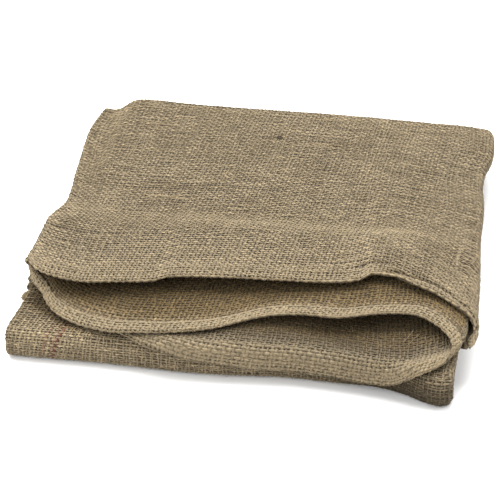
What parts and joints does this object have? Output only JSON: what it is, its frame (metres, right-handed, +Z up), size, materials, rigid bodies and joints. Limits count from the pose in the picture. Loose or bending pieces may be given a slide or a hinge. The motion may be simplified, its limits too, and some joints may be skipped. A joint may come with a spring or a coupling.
{
  "type": "jute sack",
  "caption": "Empty open-weave jute sack, folded flat in a soft rectangular bundle with its hemmed mouth gaping at the front.",
  "frame": {"origin": "on the surface that the folded sack lies on, under the middle of the bundle", "axes": "+X to the right seen from the mouth, +Y from the mouth to the back fold, +Z up"},
  "size_m": [0.3167, 0.3372, 0.0464],
  "materials": {
    "jute_cloth": "matte plain-woven jute"
  },
  "bodies": {
    "root": {"sack_cloth": "jute_cloth"}
  },
  "joints": []
}
